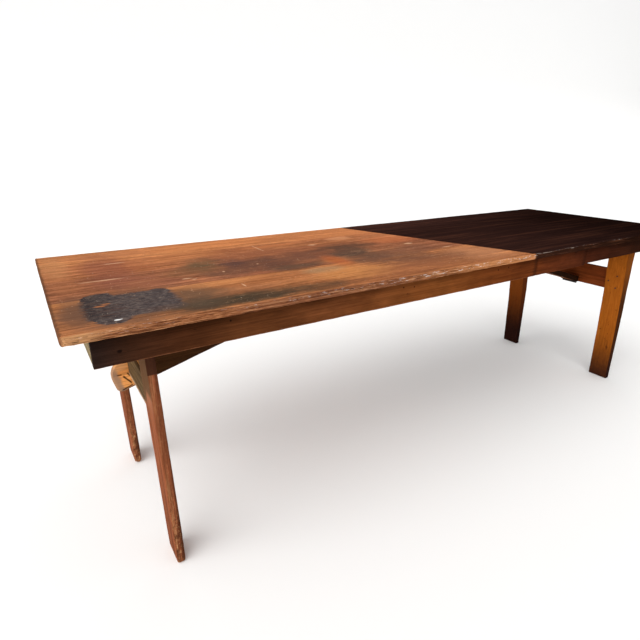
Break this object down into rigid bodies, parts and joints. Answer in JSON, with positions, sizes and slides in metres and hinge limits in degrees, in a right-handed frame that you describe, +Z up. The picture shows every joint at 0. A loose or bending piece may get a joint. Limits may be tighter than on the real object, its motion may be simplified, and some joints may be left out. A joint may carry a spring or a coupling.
{
  "type": "folding table",
  "caption": "Long wooden folding table: planked top on a board frame, with hinged leg frames and diagonal struts that fold flat under the top.",
  "frame": {"origin": "on the floor under the middle of the top, at the centre of the bounding box's base", "axes": "+Z up, +X along the table's length away from the end with the crossbar lath and the blunt-headed strut, +Y across the table to the long side whose rail is one piece"},
  "size_m": [2.41, 0.762, 0.72],
  "materials": {
    "top_wood": "old varnished boards, orange-brown, worn and stained",
    "rail_wood": "dark varnished softwood, scuffed",
    "end_rail_wood": "weathered bare board",
    "inner_wood": "bare sawn softwood",
    "left_leg_wood": "reddish stained board, worn",
    "crossbar_wood": "grey-brown bare lath",
    "left_strut_wood": "orange bare softwood",
    "right_leg_wood": "golden-orange varnished board, dark at the foot",
    "crossboard_wood": "reddish-brown stained board",
    "right_strut_wood": "orange-brown varnished board",
    "rod_steel": "plain drawn rod, dulled",
    "hinge_steel": "dark pressed steel",
    "fastener_steel": "dull steel nails and screws"
  },
  "bodies": {
    "table": {"catch_screw_left_1": "fastener_steel", "catch_screw_left_2": "fastener_steel", "catch_screw_right_1": "fastener_steel", "catch_screw_right_2": "fastener_steel", "cleat_left": "inner_wood", "cleat_middle": "inner_wood", "cleat_right": "inner_wood", "corner_block_far_left": "inner_wood", "corner_block_far_right": "inner_wood", "corner_block_near_left": "inner_wood", "corner_block_near_right": "inner_wood", "end_rail_left": "end_rail_wood", "end_rail_right": "end_rail_wood", "far_rail": "rail_wood", "near_rail_a": "rail_wood", "near_rail_b": "rail_wood", "near_rail_c": "rail_wood", "pivot_rod_left": "rod_steel", "pivot_rod_right": "rod_steel", "splice_block_left": "inner_wood", "splice_block_right": "inner_wood", "stop_cleat_left": "inner_wood", "stop_cleat_right": "inner_wood", "strut_catch_left": "inner_wood", "strut_catch_right": "inner_wood", "top_plank_1": "top_wood", "top_plank_2": "top_wood", "top_plank_3": "top_wood", "top_plank_4": "top_wood"},
    "left_leg_frame": {"left_leg_near": "left_leg_wood", "left_leg_far": "left_leg_wood", "left_crossbar": "crossbar_wood", "left_strut_rod": "rod_steel", "left_strut_washer_near": "rod_steel", "left_strut_washer_far": "rod_steel"},
    "left_strut": {"left_strut": "left_strut_wood"},
    "right_leg_frame": {"right_leg_near": "right_leg_wood", "right_leg_far": "right_leg_wood", "right_crossboard": "crossboard_wood", "hinge_leaf_board": "hinge_steel", "hinge_pin": "hinge_steel", "crossboard_nail_1": "fastener_steel", "crossboard_nail_2": "fastener_steel", "crossboard_nail_3": "fastener_steel", "crossboard_nail_4": "fastener_steel", "crossboard_nail_5": "fastener_steel", "crossboard_nail_6": "fastener_steel", "hinge_board_screw_1": "fastener_steel", "hinge_board_screw_2": "fastener_steel", "hinge_board_screw_3": "fastener_steel"},
    "right_strut": {"right_strut": "right_strut_wood", "hinge_leaf_strut": "hinge_steel", "hinge_strut_screw_1": "fastener_steel", "hinge_strut_screw_2": "fastener_steel", "hinge_strut_screw_3": "fastener_steel"}
  },
  "joints": [
    {"name": "left_leg_fold", "type": "hinge", "parent": "table", "child": "left_leg_frame", "pos_m": [-1.0345, 0, 0.655], "axis": [0, -1, 0], "range_deg": [0, 88.4]},
    {"name": "left_strut_fold", "type": "hinge", "parent": "left_leg_frame", "child": "left_strut", "pos_m": [-1.0265, 0, 0.453], "axis": [0, 1, 0], "range_deg": [0, 103.7]},
    {"name": "right_leg_fold", "type": "hinge", "parent": "table", "child": "right_leg_frame", "pos_m": [1.009, 0, 0.655], "axis": [0, 1, 0], "range_deg": [0, 93]},
    {"name": "right_strut_fold", "type": "hinge", "parent": "right_leg_frame", "child": "right_strut", "pos_m": [1.0455, 0, 0.4237], "axis": [0, -1, 0], "range_deg": [0, 110]}
  ],
  "couplings": [
    {"joint": "left_strut_fold", "follows": "left_leg_fold", "ratio": 1.1731},
    {"joint": "right_strut_fold", "follows": "right_leg_fold", "ratio": 1.1828}
  ]
}
